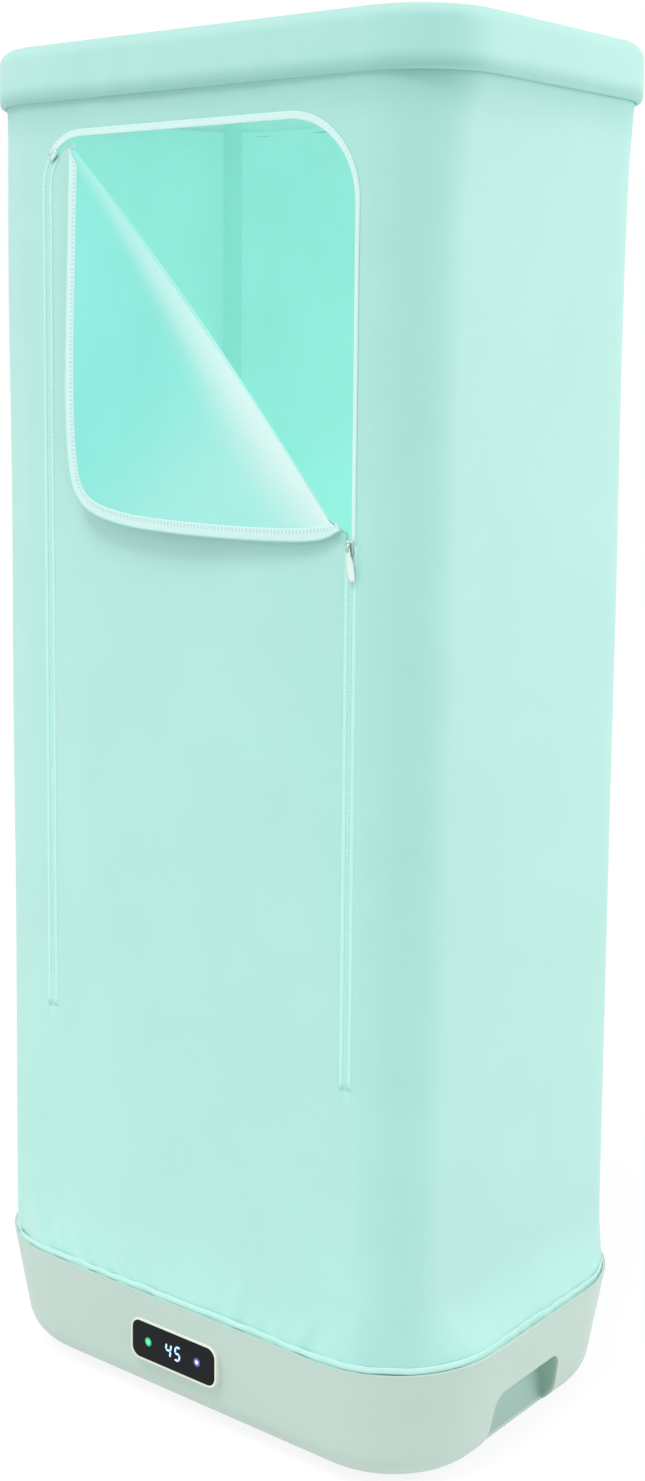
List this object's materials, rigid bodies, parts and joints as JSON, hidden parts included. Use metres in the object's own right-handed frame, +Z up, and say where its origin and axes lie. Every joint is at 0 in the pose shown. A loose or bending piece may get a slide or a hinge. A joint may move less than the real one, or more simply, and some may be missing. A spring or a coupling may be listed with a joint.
{
  "type": "portable clothes dryer",
  "caption": "Upright portable clothes dryer: pale heated base with a display, a tube frame with a hanging rod, and a mint fabric cover whose zipped door is folded open at one corner.",
  "frame": {"origin": "on the ground under the middle of the base", "axes": "+Z up, -Y towards the front with the display and the door, +X to the right from the front"},
  "size_m": [0.614, 0.429, 1.4],
  "materials": {
    "base_shell": "pale sage, fine satin grain",
    "grip_lining": "grey green, satin",
    "bezel": "pale, smooth",
    "lens": "black, polished",
    "digits": "lit pale blue",
    "green_light": "lit green",
    "white_light": "lit white",
    "rubber": "matt black",
    "dark_plastic": "black, satin",
    "filter_mesh": "fine grey mesh",
    "circuit_board": "green laminate",
    "steel": "plain zinc plated",
    "aluminium": "bare fins",
    "brass_pin": "bare",
    "white_plastic": "pale, satin",
    "post_paint": "pale green powder coat",
    "rod_steel": "bright plated tube",
    "cover_fabric": "pale mint, close plain weave",
    "flap_fabric": "mint, coated inner side",
    "zip_tape": "pale woven tape",
    "zip_teeth": "nylon coil",
    "zip_metal": "pale lacquer"
  },
  "bodies": {
    "base": {"base_housing": "base_shell", "base_deck": "base_shell", "outlet_grille": "base_shell", "intake_grille": "base_shell", "grip_cup_left": "grip_lining", "grip_cup_right": "grip_lining", "display_bezel": "bezel", "display_lens": "lens", "display_digits": "digits", "lamp_green": "green_light", "lamp_white": "white_light", "rubber_feet": "rubber", "fan_shroud": "dark_plastic", "board_components": "dark_plastic", "power_inlet": "dark_plastic", "dust_filter": "filter_mesh", "control_board": "circuit_board", "display_board": "circuit_board", "deck_screws": "steel", "bracket_screws": "steel", "fan_motor": "steel", "board_bracket": "steel", "heater_standoffs": "steel", "thermal_cutout": "steel", "heater_core": "aluminium", "heater_frame": "aluminium", "inlet_pins": "brass_pin", "post_sockets": "white_plastic", "post_ferrules": "white_plastic", "top_cap": "white_plastic", "rod_bracket_left": "white_plastic", "rod_bracket_right": "white_plastic", "post_lower_front_left": "post_paint", "post_lower_front_right": "post_paint", "post_lower_back_left": "post_paint", "post_lower_back_right": "post_paint", "post_upper_front_left": "post_paint", "post_upper_front_right": "post_paint", "post_upper_back_left": "post_paint", "post_upper_back_right": "post_paint", "hanging_rod": "rod_steel", "cover_top": "cover_fabric", "cover_front": "cover_fabric", "cover_back": "cover_fabric", "cover_left": "cover_fabric", "cover_right": "cover_fabric", "door_panel": "cover_fabric", "zip_tape_frame": "zip_tape", "zip_tape_door": "zip_tape", "zip_chain": "zip_teeth", "zip_teeth_frame": "zip_teeth"},
    "fan": {"fan_shaft": "steel", "fan_impeller": "dark_plastic"},
    "flap": {"door_flap": "flap_fabric", "zip_tape_flap": "zip_tape", "zip_teeth_flap": "zip_teeth"},
    "right_slider": {"zip_slider_right": "zip_metal"},
    "right_pull": {"zip_pull": "zip_metal"},
    "left_slider": {"zip_slider_left": "zip_metal"}
  },
  "joints": [
    {"name": "fan_spin", "type": "hinge", "parent": "base", "child": "fan", "pos_m": [0, 0, 0.043], "axis": [0, 0, 1], "continuous": true},
    {"name": "flap_fold", "type": "hinge", "parent": "base", "child": "flap", "pos_m": [-0.19, -0.1997, 1.33], "axis": [-0.6993, 0, 0.7148], "range_deg": [0, 180]},
    {"name": "right_slider_run", "type": "slide", "parent": "base", "child": "right_slider", "axis": [0, 0, 1], "range_m": [-0.49, 0.3]},
    {"name": "pull_swing", "type": "hinge", "parent": "right_slider", "child": "right_pull", "pos_m": [0.204, -0.2042, 0.919], "axis": [-1, 0, 0], "range_deg": [0, 150]},
    {"name": "left_slider_run", "type": "hinge", "parent": "base", "child": "left_slider", "pos_m": [-0.139, -0.2009, 1.259], "axis": [0, -1, 0], "range_deg": [0, 40]}
  ]
}
